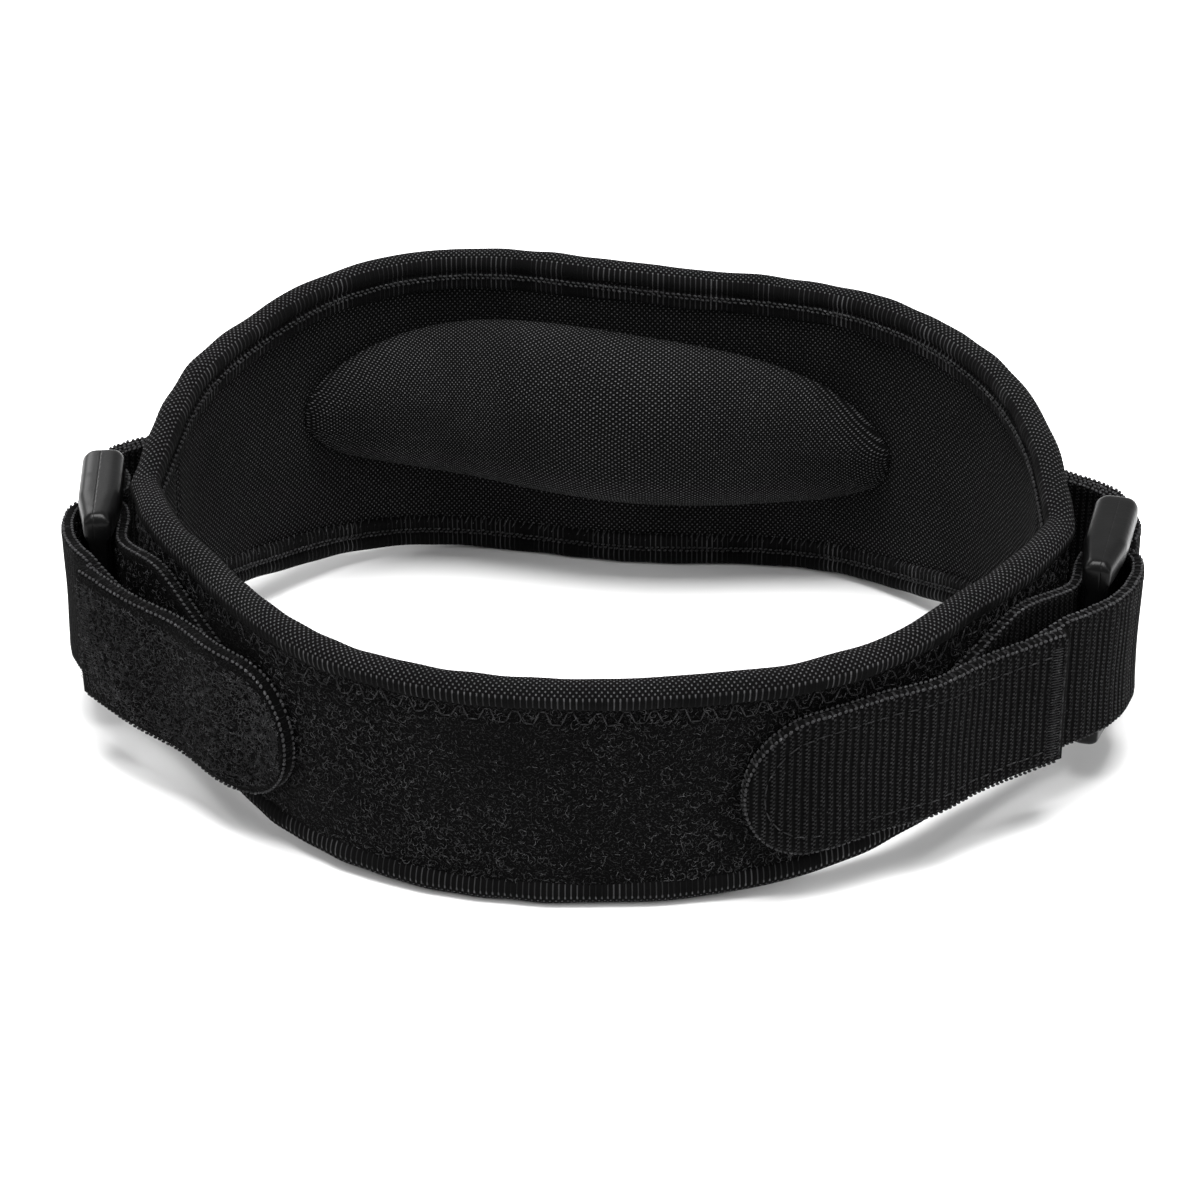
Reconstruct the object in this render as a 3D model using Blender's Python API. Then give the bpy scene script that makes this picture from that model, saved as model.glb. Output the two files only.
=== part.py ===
# Elbow compression band, standing on its edge as a closed loop.
# Metres, +Z up, the floor at Z = 0. The tall padded back panel is at +Y, the
# pile-faced front panel at -Y, and a strap with a ring and a hook tab is at each side.

import math

import bmesh
import bpy
import numpy as np

# Loop seen from above: the wall's middle line between its two side corners
HALF_WIDTH = 0.0618  # from the middle to a side corner
BACK_DEPTH = 0.0491  # from the corners back to the furthest part of the back panel
FRONT_DEPTH = 0.0435  # from the corners forward to the middle of the front panel

# Heights of the wall's edges, measured over the bindings
BACK_HEIGHT = 0.0490  # tallest part of the back panel
FRONT_HEIGHT = 0.0328  # middle of the front panel
CORNER_TOP = 0.0358  # top of the wall at a side corner
CORNER_LIFT = 0.0085  # how far a corner's lower edge is off the floor

# Wall and edge binding
WALL = 0.0028  # padded panel
TONGUE = 0.0012  # panel edge pressed flat inside the binding
BINDING_CLOTH = 0.0010  # rolled tape
INNER_LEG = 0.0053  # depth of the tape on the inside, with its stitched flange
OUTER_LEG = 0.0026  # depth of the tape on the outside
GAP = 0.0003  # clearance between neighbouring pieces

# Compression pad on the back panel's inner face
PAD_LENGTH = 0.0924
PAD_HEIGHT = 0.0268
PAD_RISE = 0.0080
PAD_MIDDLE_Z = 0.0254
PAD_SHIFT = 0.0047  # from the middle of the back panel towards the left
PAD_TILT = math.radians(3.5)  # left end up

# Plastic rings
RING_LENGTH = 0.0206
RING_BAR = 0.0037  # an upright bar, along the ring
RING_HEAD = 0.0042  # a head or foot block, upright
RING_WIDTH = 0.0059  # a head or foot block, across the ring
RING_BAR_WIDTH = 0.0038  # an upright bar, across the ring
RING_CHAMFER = 0.0009
RING_OUT = {"left": 0.0066, "right": 0.0063}  # ring's middle outside the corner
RING_BACK = 0.0018  # ring's middle behind the corner
RING_TURN = math.radians(9.5)  # far end turned outwards
RING_MIDDLE_Z = 0.0193

# Anchor straps, from the back panel round the ring's far bar and back again
STRAP_WIDTH = 0.0194
ANCHOR_CLOTH = 0.0012
ANCHOR_FREE_LENGTH = 0.0300  # from the corner to where it leaves the back panel
ANCHOR_SEWN = 0.0200  # length sewn flat on the back panel
ANCHOR_EYE = 0.0052  # length of the eye between the far bar and where the plies meet

# Pull straps, from the front panel round the ring's near bar and back to the tab
STRAP_CLOTH = 0.0016
PULL_FREE_LENGTH = 0.0140  # from the corner to where it leaves the front panel
PULL_SEWN = 0.0200  # length sewn flat on the front panel
BEND_BULGE = 0.0014  # how loosely it stands off the ring's outer side
BEND_NOTCH = 0.0010  # space between its bend and the anchor strap's bend

# Hook tabs
TAB_CLOTH = 0.0022
TAB_FLARE = 0.0008  # how much wider a tab is than its strap
TAB_LAP = 0.0080  # strap end sewn under the tab
TAB_START = {"left": 0.0090, "right": 0.0140}  # from the corner to the tab's joint
TAB_OUT = {"left": 0.0112, "right": 0.0094}  # the joint from the panel's middle line
TAB_SETTLE = 0.0060  # length in which the tab comes down off the pull strap's end
TAB_MIDDLE_Z = 0.0162  # a tab's middle at its tip
TAB_LENGTH = {"left": 0.0398, "right": 0.0478}

# Wall line from the left corner to the right one. Across is a share of HALF_WIDTH,
# deep of the panel's depth, lift of CORNER_LIFT, and drop of the difference between
# the panel's height and CORNER_TOP.
BACK_LINE = (
    # across, deep, lift, drop
    (-1.00, 0.000, 1.00, 1.00),
    (-0.95, 0.365, 0.78, 0.48),
    (-0.84, 0.621, 0.46, 0.27),
    (-0.70, 0.829, 0.26, 0.12),
    (-0.50, 0.975, 0.08, 0.05),
    (-0.33, 1.000, 0.00, 0.01),
    (-0.16, 0.969, 0.00, 0.00),
    (0.00, 0.944, 0.00, 0.02),
    (0.16, 0.957, 0.00, 0.10),
    (0.33, 0.971, 0.00, 0.16),
    (0.50, 0.940, 0.02, 0.20),
    (0.70, 0.790, 0.12, 0.25),
    (0.84, 0.624, 0.38, 0.39),
    (0.95, 0.345, 0.78, 0.62),
    (1.00, 0.000, 1.00, 1.00),
)
FRONT_LINE = (
    # across, deep, lift, drop
    (-1.00, 0.000, 1.00, 1.00),
    (-0.92, 0.255, 0.78, 0.88),
    (-0.80, 0.440, 0.44, 0.58),
    (-0.67, 0.665, 0.22, 0.30),
    (-0.48, 0.868, 0.10, 0.04),
    (-0.24, 0.981, 0.00, 0.00),
    (0.00, 1.000, 0.00, 0.00),
    (0.24, 0.950, 0.00, 0.03),
    (0.48, 0.845, 0.18, 0.05),
    (0.67, 0.670, 0.38, 0.25),
    (0.80, 0.443, 0.52, 0.57),
    (0.92, 0.240, 0.78, 0.88),
    (1.00, 0.000, 1.00, 1.00),
)

# Dome of the pad. Size is a share of its outline, and rise a share of PAD_RISE.
PAD_DOME = (
    # size, rise
    (1.00, 0.16),
    (0.97, 0.38),
    (0.89, 0.60),
    (0.76, 0.79),
    (0.56, 0.93),
    (0.30, 0.99),
    (0.05, 1.00),
)
PAD_ARCH = 1.75  # roundness of the outline's upper half, 2 for an ellipse
PAD_FOOT = 2.4  # and of its flatter lower half
PAD_BASE = (0.05, 0.20, 0.35, 0.50, 0.64, 0.77, 0.88, 0.96)  # shares of the outline

# Plan of a ring's head from its near end to its far end. Along is a share of half
# the ring's length, and wide a share of the width.
RING_PLAN = (
    # along, wide
    (-1.00, 0.62),
    (-0.25, 1.00),
    (0.85, 1.00),
    (1.00, 0.78),
)

# How a tab closes on the panel between its joint and the pull strap's end. Along is
# a share of that distance, and closed a share of the space that closes.
TAB_CLOSING = (
    # along, closed
    (0.00, 0.00),
    (0.33, 0.44),
    (0.66, 0.80),
    (1.00, 1.00),
)

CURVE_STEPS = 24  # points that a smooth curve has from one knot to the next
BACK_STEPS = 36
FRONT_STEPS = 30
STRAP_TURN = math.radians(14)  # the most that a strap turns between two points
STRAP_SPAN = 0.005  # and the furthest that they lie apart
TAB_STEPS = 16
TIP_STEPS = 7
TIP_FLAT = math.radians(8)  # where a tab's round tip is cut off
PAD_STEPS = 44
ROLL_STEPS = 7  # odd, so that a roll rests on a flat
BEND_STEPS = 6
WRAP_STEPS = 3

CORNER_Y = (FRONT_DEPTH - BACK_DEPTH) / 2
BINDING_HALF = TONGUE / 2 + GAP + BINDING_CLOTH
RING_HEIGHT = STRAP_WIDTH + 2 * GAP + 2 * RING_HEAD


def unit(vector):
    return vector / np.linalg.norm(vector)


def outwards(tangent):
    """Normal on the left of a tangent. The wall runs clockwise, so it points out."""
    return np.array((-tangent[1], tangent[0]))


def distances(points):
    """Distance of each point from the first, along the line and seen from above."""
    lengths = np.linalg.norm(np.diff(points[:, :2], axis=0), axis=1)
    return np.concatenate(((0.0,), np.cumsum(lengths)))


def at_distance(points, wanted):
    """Points at the wanted distances along a line."""
    along = distances(points)
    return np.stack([np.interp(wanted, along, column) for column in points.T], axis=-1)


def curve(knots):
    """Closely spaced points on a smooth curve through the knots."""
    knots = np.asarray(knots, float)
    place = distances(knots)
    pitch = np.diff(place)[:, None]
    slope = np.diff(knots, axis=0) / pitch
    inner = (slope[:-1] * pitch[1:] + slope[1:] * pitch[:-1]) / (pitch[:-1] + pitch[1:])
    slopes = np.vstack((slope[:1], inner, slope[-1:]))
    fine = []
    for index, length in enumerate(pitch):
        for part in np.linspace(0, 1, CURVE_STEPS, endpoint=False):
            blend = part * part * (3 - 2 * part)
            leave = part * (1 - part) ** 2 * length * slopes[index]
            arrive = part * part * (part - 1) * length * slopes[index + 1]
            between = knots[index] * (1 - blend) + knots[index + 1] * blend
            fine.append(between + leave + arrive)
    return np.array([*fine, knots[-1]])


def spline(knots, steps):
    """Evenly spaced points on a smooth curve through the knots."""
    fine = curve(knots)
    return at_distance(fine, np.linspace(0, distances(fine)[-1], steps + 1))


def thinned(line):
    """A line with points left out, and fewer of them where it bends."""
    across, deep = np.diff(line[:, :2], axis=0).T
    headings = np.unwrap(np.arctan2(deep, across))
    along = distances(line)
    kept = [0]
    for index, heading in enumerate(headings):
        turned = abs(heading - headings[kept[-1]])
        if turned > STRAP_TURN or along[index] - along[kept[-1]] > STRAP_SPAN:
            kept.append(index)
    if along[-1] - along[kept[-1]] < STRAP_SPAN / 2:
        kept.pop()
    return line[[*kept, -1]]


def line_normals(points, first=None, last=None):
    """Outward vectors along a line, lengthened where it bends so offsets stay even."""
    steps = [unit(step) for step in np.diff(points[:, :2], axis=0)]
    before = [steps[0] if first is None else first, *steps]
    after = [*steps, steps[-1] if last is None else last]
    normals = []
    for one, two in zip(before, after):
        middle = unit(outwards(one) + outwards(two))
        normals.append(middle / (middle @ outwards(one)))
    return np.array(normals)


def panel_line(rows, depth, height, steps):
    """x, y, lower edge and upper edge along a panel, from its left corner."""
    knots = [
        (
            across * HALF_WIDTH,
            CORNER_Y + deep * depth,
            lift * CORNER_LIFT,
            height + drop * (CORNER_TOP - height),
        )
        for across, deep, lift, drop in rows
    ]
    line = spline(knots, steps)
    line[:, 2] = np.maximum(line[:, 2], 0)
    return line


# Both run clockwise: the back from left to right, and the front from right to left
BACK = panel_line(BACK_LINE, BACK_DEPTH, BACK_HEIGHT, BACK_STEPS)
FRONT = panel_line(FRONT_LINE, -FRONT_DEPTH, FRONT_HEIGHT, FRONT_STEPS)[::-1]


def edge_stretches(line, other):
    """How much longer each edge is than its plan, the same for both at the corners."""
    stretches = []
    for column in (2, 3):
        own = np.hypot(1, np.gradient(line[:, column], distances(line)))
        next_one = np.hypot(1, np.gradient(other[:, column], distances(other)))
        own[0] = own[-1] = (own[0] + next_one[0]) / 2
        stretches.append(own)
    return np.stack(stretches, axis=1)


def skin(name, sections, closed=False):
    """A closed body through sections that have the same number of points."""
    mesh = bpy.data.meshes.new(name)
    shape = bmesh.new()
    rows = [[shape.verts.new(point) for point in section] for section in sections]
    for row in rows:
        for one, two in zip(row, row[1:] + row[:1]):
            shape.edges.new((one, two))
    pairs = list(zip(rows, rows[1:] + rows[:1]))
    for row, next_row in pairs if closed else pairs[:-1]:
        for index, vert in enumerate(row):
            shape.faces.new(
                (row[index - 1], vert, next_row[index], next_row[index - 1])
            )
    if not closed:
        shape.faces.new(rows[0])
        shape.faces.new(rows[-1])
    bmesh.ops.recalc_face_normals(shape, faces=shape.faces)
    shape.to_mesh(mesh)
    shape.free()
    return mesh


def material(name, colour, roughness):
    finish = bpy.data.materials.new(name)
    finish.use_nodes = True
    shader = finish.node_tree.nodes["Principled BSDF"]
    shader.inputs["Base Color"].default_value = (*colour, 1)
    shader.inputs["Roughness"].default_value = roughness
    shader.inputs["Metallic"].default_value = 0
    return finish


def place(name, mesh, finish, sharp=40):
    piece = bpy.data.objects.new(name, mesh)
    mesh.shade_smooth()
    mesh.set_sharp_from_angle(angle=math.radians(sharp))
    if not mesh.materials:
        mesh.materials.append(finish)
    bpy.context.scene.collection.objects.link(piece)
    return piece


def wall_point(point, normal, out, z):
    return (*(point[:2] + out * normal), z)


def panel(name, line, other, finish):
    """Padded wall with a flat tongue along each edge, mitred at both corners."""
    first, last = (unit(other[end, :2] - other[end - 1, :2]) for end in (-1, 1))
    normals = line_normals(line, first, last)
    points = line.copy()
    for end, inner in ((0, 1), (-1, -2)):
        inwards = unit(line[inner, :2] - line[end, :2])
        points[end, :2] += inwards * GAP / 2 * np.linalg.norm(normals[end])
    sections = []
    for point, normal, (low, high) in zip(points, normals, edge_stretches(line, other)):
        edge = BINDING_CLOTH + GAP
        inner_step = INNER_LEG + GAP
        outer_step = OUTER_LEG + GAP
        outline = (
            (TONGUE / 2, point[3] - edge * high),
            (TONGUE / 2, point[3] - outer_step * high),
            (WALL / 2, point[3] - outer_step * high),
            (WALL / 2, point[2] + outer_step * low),
            (TONGUE / 2, point[2] + outer_step * low),
            (TONGUE / 2, point[2] + edge * low),
            (-TONGUE / 2, point[2] + edge * low),
            (-TONGUE / 2, point[2] + inner_step * low),
            (-WALL / 2, point[2] + inner_step * low),
            (-WALL / 2, point[3] - inner_step * high),
            (-TONGUE / 2, point[3] - inner_step * high),
            (-TONGUE / 2, point[3] - edge * high),
        )
        sections.append([wall_point(point, normal, out, z) for out, z in outline])
    return place(name, skin(name, sections), finish)


def binding_outline():
    """Rolled tape across the wall's edge, as distances outwards and below its crest."""
    crest = BINDING_HALF * math.cos(math.pi / 2 / ROLL_STEPS)
    outline = []
    for step in range(ROLL_STEPS + 1):
        angle = math.pi * step / ROLL_STEPS
        outline.append(
            (BINDING_HALF * math.cos(angle), crest - BINDING_HALF * math.sin(angle))
        )
    slot = TONGUE / 2 + GAP
    return (
        *outline,
        (-BINDING_HALF, INNER_LEG),
        (-slot, INNER_LEG),
        (-slot, BINDING_CLOTH),
        (slot, BINDING_CLOTH),
        (slot, OUTER_LEG),
        (BINDING_HALF, OUTER_LEG),
    )


def binding(name, column, inwards, finish):
    """Tape rolled over one edge of both panels, all the way round."""
    loop = np.vstack((BACK[:-1], FRONT[:-1]))
    stretches = np.vstack(
        (edge_stretches(BACK, FRONT)[:-1], edge_stretches(FRONT, BACK)[:-1])
    )
    closing = unit(loop[0, :2] - loop[-1, :2])
    normals = line_normals(loop, closing, closing)
    outline = binding_outline()
    sections = []
    for point, normal, stretch in zip(loop, normals, stretches[:, column - 2]):
        sections.append(
            [
                wall_point(point, normal, out, point[column] + inwards * down * stretch)
                for out, down in outline
            ]
        )
    return place(name, skin(name, sections, closed=True), finish)


def pad(name, finish):
    """Domed pad whose base follows the back panel's inner face."""
    middle = distances(BACK)[-1] / 2 - PAD_SHIFT
    normals = line_normals(BACK)
    line = np.hstack((BACK[:, :2], normals))
    face = -(WALL / 2 + GAP)

    def outline(size, rise):
        section = []
        for step in range(PAD_STEPS):
            angle = 2 * math.pi * step / PAD_STEPS
            power = 2 / (PAD_ARCH if step < PAD_STEPS / 2 else PAD_FOOT)
            across, up = (
                math.copysign(abs(share) ** power, share)
                for share in (math.cos(angle), math.sin(angle))
            )
            along = size * PAD_LENGTH / 2 * across
            up_panel = size * PAD_HEIGHT / 2 * up
            z = PAD_MIDDLE_Z + up_panel - along * math.tan(PAD_TILT)
            spot = at_distance(line, middle + along)
            section.append(wall_point(spot, spot[2:], face - rise * PAD_RISE, z))
        return section

    sections = [outline(size, 0) for size in PAD_BASE]
    sections += [outline(size, rise) for size, rise in PAD_DOME]
    return place(name, skin(name, sections), finish)


def ring_plan(width, inset):
    half = RING_LENGTH / 2
    right = [
        (
            width / 2 * wide - inset,
            max(-half + inset, min(half - inset, along * half)),
        )
        for along, wide in RING_PLAN
    ]
    left = [(-across, along) for across, along in reversed(right)]
    return right + left


def ring(name, side, mesh, window, finish):
    """Plastic loop with a window for the straps, standing beside a side corner."""
    piece = place(name, mesh, finish, sharp=20)
    piece.location = (*side.ring, RING_MIDDLE_Z)
    piece.rotation_euler[2] = -side.sign * RING_TURN
    cutter = bpy.data.objects.new(name + "_window", window)
    bpy.context.scene.collection.objects.link(cutter)
    cutter.parent = piece
    cutter.hide_render = True
    cutter.display_type = "WIRE"
    cut = piece.modifiers.new("Window", "BOOLEAN")
    cut.operation = "DIFFERENCE"
    cut.solver = "EXACT"
    cut.object = cutter
    return piece


def ring_meshes():
    half = RING_HEIGHT / 2
    levels = (
        (half, RING_WIDTH, RING_CHAMFER),
        (half - RING_CHAMFER, RING_WIDTH, 0),
        (half - RING_HEAD * 0.8, RING_WIDTH, 0),
        (half - RING_HEAD * 1.1, RING_BAR_WIDTH, 0),
    )
    levels += tuple((-z, width, inset) for z, width, inset in reversed(levels))
    sections = [
        [(across, along, z) for across, along in ring_plan(width, inset)]
        for z, width, inset in levels
    ]
    body = skin("ring", sections)
    window = bpy.data.meshes.new("ring_window")
    shape = bmesh.new()
    bmesh.ops.create_cube(shape, size=1)
    size = (2 * RING_WIDTH, RING_LENGTH - 2 * RING_BAR, STRAP_WIDTH + 2 * GAP)
    bmesh.ops.scale(shape, vec=size, verts=shape.verts)
    shape.to_mesh(window)
    shape.free()
    return body, window


class Side:
    """Places beside one ring, and along both panels from that side's corner."""

    def __init__(self, label):
        self.label = label
        self.sign = {"left": -1, "right": 1}[label]
        turn = self.sign * RING_TURN
        self.far = np.array((math.sin(turn), math.cos(turn)))
        self.out = self.sign * np.array((self.far[1], -self.far[0]))
        across = self.sign * (HALF_WIDTH + RING_OUT[label])
        self.ring = np.array((across, CORNER_Y + RING_BACK))
        self.lines = {}
        for name, line in (("back", BACK), ("front", FRONT)):
            spots = np.hstack((line, line_normals(line)))
            starts_here = line[0, 0] * self.sign > 0
            self.lines[name] = spots if starts_here else spots[::-1]

    def by_ring(self, along, out, z=RING_MIDDLE_Z):
        """A point from the ring's middle, along it towards its far end and outwards."""
        return (*(self.ring + along * self.far + out * self.out), z)

    def by_wall(self, name, distance, out, z=None):
        """A point at a distance from the corner along a panel, and off its middle."""
        spot = at_distance(self.lines[name], distance)
        middle = (spot[2] + spot[3]) / 2
        return wall_point(spot, spot[4:], out, middle if z is None else z)


def ribbon(name, path, halves, cloth, finish):
    """Flat strap that stands upright along a path of x, y and middle height."""
    normals = line_normals(path)
    corners = ((0.5, 1), (0.5, -1), (-0.5, -1), (-0.5, 1))
    sections = [
        [
            wall_point(point, normal, out * cloth, point[2] + up * half)
            for out, up in corners
        ]
        for point, normal, half in zip(path, normals, halves)
    ]
    return place(name, skin(name, sections), finish)


def strap(name, path, cloth, finish):
    return ribbon(name, path, np.full(len(path), STRAP_WIDTH / 2), cloth, finish)


def bend(side, middle, out, radius):
    """A half turn beside a ring, from its inner side to its outer side."""
    knots = []
    for step in range(BEND_STEPS + 1):
        angle = math.pi * (step / BEND_STEPS - 0.5)
        along = middle + radius * math.cos(angle)
        knots.append(side.by_ring(along, out + radius * math.sin(angle)))
    return knots


def wrap(side, lift):
    """Round a ring's far bar by its window side, at a height off its surface."""
    window = RING_LENGTH / 2 - RING_BAR
    knots = []
    for end, turns in ((-1, range(WRAP_STEPS + 1)), (1, range(WRAP_STEPS, -1, -1))):
        for turn in turns:
            angle = math.pi / 2 * turn / WRAP_STEPS
            out = end * (RING_BAR_WIDTH / 2 + lift * math.cos(angle))
            knots.append(side.by_ring(window - lift * math.sin(angle), out))
    beside = RING_BAR_WIDTH / 2 + lift
    start, end = (side.by_ring(RING_LENGTH / 2, out) for out in (-beside, beside))
    return start, *knots, end


def anchor_path(side):
    """From the back panel round the ring's far bar and back onto the back panel."""
    between = WALL / 2 + GAP + ANCHOR_CLOTH + GAP / 2
    meet = RING_LENGTH / 2 + ANCHOR_EYE
    sewn = np.linspace(ANCHOR_FREE_LENGTH + ANCHOR_SEWN, ANCHOR_FREE_LENGTH, 5)
    knots = [side.by_wall("back", spot, between, RING_MIDDLE_Z) for spot in sewn]
    knots += [side.by_ring(along, 0) for along in (meet, RING_LENGTH / 2)]
    inner = thinned(curve(knots)[:-CURVE_STEPS])
    outer = inner.copy()
    apart = line_normals(inner) * (ANCHOR_CLOTH + GAP) / 2 * side.sign
    inner[:, :2] -= apart
    outer[:, :2] += apart
    return np.array((*inner, *wrap(side, GAP + ANCHOR_CLOTH / 2), *outer[::-1]))


def tab_path(side):
    """From the joint forwards until the tab lies on the front panel's face."""
    over = WALL / 2 + GAP + STRAP_CLOTH + GAP + TAB_CLOTH / 2
    lying = WALL / 2 + GAP + TAB_CLOTH / 2
    length = TAB_LENGTH[side.label]
    end = PULL_FREE_LENGTH + PULL_SEWN
    start, out = TAB_START[side.label], TAB_OUT[side.label]
    spots = [
        (start + along * (end - start), out + closed * (over - out))
        for along, closed in TAB_CLOSING
    ]
    spots += [(end + TAB_SETTLE * (1 + step), lying) for step in range(6)]
    fine = spline([side.by_wall("front", spot, out) for spot, out in spots], 400)
    wide = (STRAP_WIDTH + TAB_FLARE) / 2
    straight = np.linspace(0, length - wide, TAB_STEPS)
    angles = np.linspace(math.pi / 2, TIP_FLAT, TIP_STEPS)[1:]
    stations = np.concatenate((straight, length - wide * (1 - np.cos(angles))))
    path = at_distance(fine, stations)[:, :3]
    path[:, 2] = RING_MIDDLE_Z + (TAB_MIDDLE_Z - RING_MIDDLE_Z) * stations / length
    flared = wide - TAB_FLARE / 2 * np.clip(1 - stations / straight[-1], 0, 1)
    tip = np.concatenate((np.ones(TAB_STEPS), np.sin(angles)))
    return path, flared * tip


def pull_path(side, tab):
    """From the front panel round the ring's near bar and forwards under the tab."""
    lying = WALL / 2 + GAP + STRAP_CLOTH / 2
    beside = RING_BAR_WIDTH / 2 + GAP + STRAP_CLOTH / 2
    radius = beside + BEND_BULGE / 2
    near = RING_LENGTH / 2 - RING_BAR / 2
    window = RING_LENGTH / 2 - RING_BAR
    apex = window - GAP - ANCHOR_CLOTH - BEND_NOTCH - STRAP_CLOTH / 2
    sewn = np.linspace(PULL_FREE_LENGTH + PULL_SEWN, PULL_FREE_LENGTH, 4)
    under = at_distance(tab, np.array((0, TAB_LAP / 2, TAB_LAP)))
    shift = (TAB_CLOTH + STRAP_CLOTH) / 2 + GAP
    under[:, :2] -= line_normals(under) * shift * side.sign
    knots = (
        *(side.by_wall("front", spot, lying) for spot in sewn),
        side.by_ring(-near, -beside),
        *bend(side, apex - radius, BEND_BULGE / 2, radius),
        side.by_ring(-near, beside + BEND_BULGE / 2),
        *under,
    )
    return thinned(curve(knots))


def build():
    for old in list(bpy.data.objects):
        bpy.data.objects.remove(old)
    knit = material("black_knit", (0.018, 0.018, 0.019), 0.92)
    pile = material("black_loop_pile", (0.016, 0.016, 0.017), 0.95)
    tape = material("black_binding", (0.020, 0.020, 0.021), 0.85)
    webbing = material("black_webbing", (0.017, 0.017, 0.018), 0.85)
    hook = material("black_hook_tab", (0.017, 0.017, 0.018), 0.90)
    plastic = material("black_plastic", (0.030, 0.030, 0.032), 0.42)
    panel("back_panel", BACK, FRONT, knit)
    panel("front_panel", FRONT, BACK, pile)
    binding("top_binding", 3, -1, tape)
    binding("bottom_binding", 2, 1, tape)
    pad("pressure_pad", knit)
    body, window = ring_meshes()
    for label in ("left", "right"):
        side = Side(label)
        tab, halves = tab_path(side)
        ring(label + "_ring", side, body, window, plastic)
        strap(label + "_anchor_strap", anchor_path(side), ANCHOR_CLOTH, webbing)
        strap(label + "_pull_strap", pull_path(side, tab), STRAP_CLOTH, webbing)
        ribbon(label + "_hook_tab", tab, halves, TAB_CLOTH, hook)


build()
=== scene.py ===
import math

import bmesh
import bpy
import numpy as np
from mathutils import Matrix, Vector
from mathutils.bvhtree import BVHTree


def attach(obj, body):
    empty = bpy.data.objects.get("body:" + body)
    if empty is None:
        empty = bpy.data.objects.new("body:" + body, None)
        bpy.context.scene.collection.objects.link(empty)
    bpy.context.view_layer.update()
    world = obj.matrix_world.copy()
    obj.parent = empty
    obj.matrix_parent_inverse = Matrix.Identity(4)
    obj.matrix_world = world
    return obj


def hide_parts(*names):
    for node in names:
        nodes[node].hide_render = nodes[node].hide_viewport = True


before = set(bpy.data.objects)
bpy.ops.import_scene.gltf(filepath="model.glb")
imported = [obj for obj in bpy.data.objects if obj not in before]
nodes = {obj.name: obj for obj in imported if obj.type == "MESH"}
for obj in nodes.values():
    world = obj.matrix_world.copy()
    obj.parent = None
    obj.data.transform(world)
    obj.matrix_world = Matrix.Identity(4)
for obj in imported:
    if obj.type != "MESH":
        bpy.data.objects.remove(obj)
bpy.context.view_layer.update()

mm = 0.001
weld = 0.001 * mm  # corners closer than this are one
dice = np.random.default_rng(11)
print("frame loaded")


# Camera, light and floor

cameraLook = {
    "azimuth": 5.61,  # degrees, round the object from its front
    "elevation": 29.82,
    "distance": 0.49358,
    "aim": (0, 0, 0.018),
    "lens": 108,
    "sensor": 36,
    "clip": (0.01, 50),
}
lightLook = {
    "sky": 0.6,
    # name, place, width, depth, power
    "boxes": (
        ("overhead", (0.0, -0.05, 1.0), 0.7, 0.5, 20),
        ("leftFront", (-0.8, -0.6, 0.75), 0.7, 0.5, 3.5),
        ("rightFront", (0.9, -0.45, 0.6), 0.6, 0.5, 3.2),
        ("backLeft", (-0.6, 0.8, 0.5), 0.6, 0.4, 3),
    ),
}
floorLook = {"size": 3, "grey": 0.82, "roughness": 0.7}


def addObject(name, data):
    thing = bpy.data.objects.new(name, data)
    bpy.context.collection.objects.link(thing)
    return thing


def addAimed(name, data, place, target):
    thing = addObject(name, data)
    thing.location = place
    thing.rotation_euler = (Vector(target) - Vector(place)).to_track_quat("-Z", "Y").to_euler()
    return thing


def makeCamera(look):
    turn, tilt = math.radians(look["azimuth"]), math.radians(look["elevation"])
    back = Vector((math.sin(turn) * math.cos(tilt), -math.cos(turn) * math.cos(tilt), math.sin(tilt)))
    data = bpy.data.cameras.new("camera")
    data.lens = look["lens"]
    data.sensor_width = look["sensor"]
    data.clip_start, data.clip_end = look["clip"]
    aim = Vector(look["aim"])
    bpy.context.scene.camera = addAimed("camera", data, aim + back * look["distance"], aim)


def makeLight(look):
    world = bpy.data.worlds.new("studio")
    world.use_nodes = True
    sky = world.node_tree.nodes["Background"]
    sky.inputs["Color"].default_value = (1, 1, 1, 1)
    sky.inputs["Strength"].default_value = look["sky"]
    bpy.context.scene.world = world
    for name, place, width, depth, power in look["boxes"]:
        data = bpy.data.lights.new(name, "AREA")
        data.shape = "RECTANGLE"
        data.size, data.size_y, data.energy = width, depth, power
        addAimed(name, data, place, (0, 0, 0))


def newMaterial(name):
    material = bpy.data.materials.new(name)
    material.use_nodes = True
    tree = material.node_tree
    return material, tree, tree.nodes["Principled BSDF"]


def meshOf(name, shape):
    mesh = bpy.data.meshes.new(name)
    shape.to_mesh(mesh)
    shape.free()
    return mesh


def makeFloor(look):
    shape = bmesh.new()
    bmesh.ops.create_grid(shape, x_segments=1, y_segments=1, size=look["size"])
    floor = addObject("floor", meshOf("floor", shape))
    paint, _, shader = newMaterial("floorPaint")
    shader.inputs["Base Color"].default_value = (look["grey"], look["grey"], look["grey"], 1)
    shader.inputs["Roughness"].default_value = look["roughness"]
    floor.data.materials.append(paint)


makeCamera(cameraLook)
makeLight(lightLook)
makeFloor(floorLook)
bpy.context.scene.view_settings.view_transform = "Standard"
print("camera, light and floor made")


# Shader effects that several materials share

def feed(socket, value):
    if isinstance(value, bpy.types.NodeSocket):
        socket.id_data.links.new(value, socket)
    else:
        socket.default_value = value


def reckon(operation, *values):
    node = values[0].id_data.nodes.new("ShaderNodeMath")
    node.operation = operation
    for socket, value in zip(node.inputs, values):
        feed(socket, value)
    return node.outputs[0]


def noise(vector, scale, detail=2.0):
    node = vector.id_data.nodes.new("ShaderNodeTexNoise")
    feed(node.inputs["Vector"], vector)
    feed(node.inputs["Scale"], scale)
    node.inputs["Detail"].default_value = detail
    return node.outputs["Fac"]


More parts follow.
